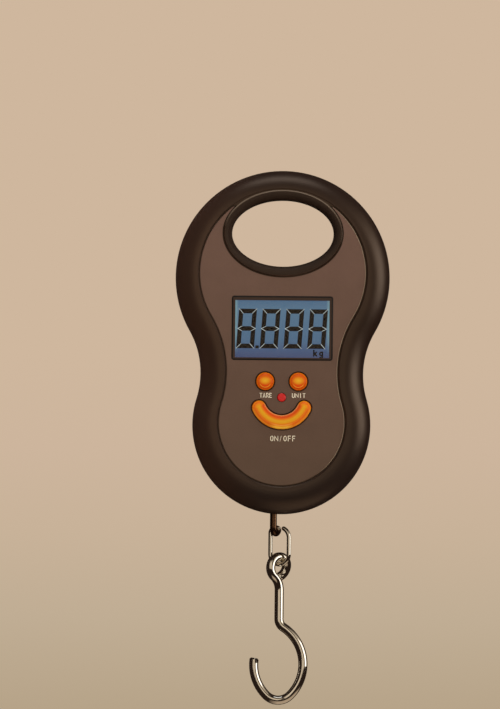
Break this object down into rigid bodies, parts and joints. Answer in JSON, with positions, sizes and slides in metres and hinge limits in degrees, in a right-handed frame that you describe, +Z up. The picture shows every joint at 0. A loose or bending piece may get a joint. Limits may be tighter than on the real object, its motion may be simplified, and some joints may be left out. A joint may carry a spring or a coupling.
{
  "type": "electronic hanging scale",
  "caption": "Hand-held electronic hanging scale: rounded case with a finger hole, a small display and push buttons, and a wire hook on a link below.",
  "frame": {"origin": "centre of the finger hole, at half its depth", "axes": "+X to the right of someone reading the display, +Y from the display side to the battery door, +Z up, away from the hook"},
  "size_m": [0.075, 0.0271, 0.1872],
  "materials": {
    "case_black": "fine satin moulded",
    "panel_grey": "satin",
    "bezel_black": "gloss",
    "window_clear": "clear",
    "lcd_face": "smooth",
    "light_guide": "diffusing",
    "zebra_rubber": "matt",
    "holder_white": "matt",
    "button_orange": "gloss",
    "plunger_white": "matt",
    "switch_black": "matt",
    "lamp_red": "gloss",
    "board_green": "solder resist",
    "epoxy_black": "gloss",
    "component_tan": "fired",
    "screw_steel": "zinc plated",
    "cell_alloy": "milled",
    "gauge_film": "film",
    "cable_grey": "matt",
    "battery_jacket": "printed metal jacket",
    "contact_nickel": "nickel plated",
    "wire_red": "matt",
    "hanger_steel": "dark plated",
    "wire_chrome": "polished"
  },
  "bodies": {
    "case": {"front_shell": "case_black", "rear_shell": "case_black", "front_panel": "panel_grey", "display_bezel": "bezel_black", "display_window": "window_clear", "lcd_glass": "lcd_face", "lcd_backlight": "light_guide", "zebra_strip": "zebra_rubber", "lcd_holder": "holder_white", "switch_housings": "switch_black", "indicator_led": "lamp_red", "main_pcb": "board_green", "controller_chip": "epoxy_black", "pcb_components": "component_tan", "pcb_screws": "screw_steel", "load_cell": "cell_alloy", "strain_gauges": "gauge_film", "load_cell_screws": "screw_steel", "gauge_cable": "cable_grey", "battery_left": "battery_jacket", "battery_right": "battery_jacket", "battery_springs": "contact_nickel", "battery_contacts": "contact_nickel", "battery_wires": "wire_red", "case_screws": "screw_steel", "load_hanger": "hanger_steel"},
    "tare_key": {"tare_button": "button_orange", "tare_plunger": "plunger_white"},
    "unit_key": {"unit_button": "button_orange", "unit_plunger": "plunger_white"},
    "power_key": {"power_button": "button_orange", "power_plunger": "plunger_white"},
    "door": {"battery_door": "case_black"},
    "link": {"chain_link": "wire_chrome"},
    "hook": {"load_hook": "wire_chrome"}
  },
  "joints": [
    {"name": "tare_press", "type": "slide", "parent": "case", "child": "tare_key", "axis": [0, 1, 0], "range_m": [0, 0.0006], "stiffness_N_per_m": 1500, "springref_m": -0.0003},
    {"name": "unit_press", "type": "slide", "parent": "case", "child": "unit_key", "axis": [0, 1, 0], "range_m": [0, 0.0006], "stiffness_N_per_m": 1500, "springref_m": -0.0003},
    {"name": "power_press", "type": "slide", "parent": "case", "child": "power_key", "axis": [0, 1, 0], "range_m": [0, 0.0006], "stiffness_N_per_m": 1800, "springref_m": -0.0003},
    {"name": "door_open", "type": "hinge", "parent": "case", "child": "door", "pos_m": [0, 0.0123, -0.08445], "axis": [-1, 0, 0], "range_deg": [0, 75]},
    {"name": "link_swing", "type": "hinge", "parent": "case", "child": "link", "pos_m": [-0.00156, 0, -0.1031], "axis": [0.9063, -0.4226, 0], "range_deg": [-75, 75]},
    {"name": "hook_swing", "type": "hinge", "parent": "link", "child": "hook", "pos_m": [-0.00018, -0.00064, -0.1172], "axis": [0.5878, -0.809, 0], "range_deg": [-45, 45]}
  ]
}
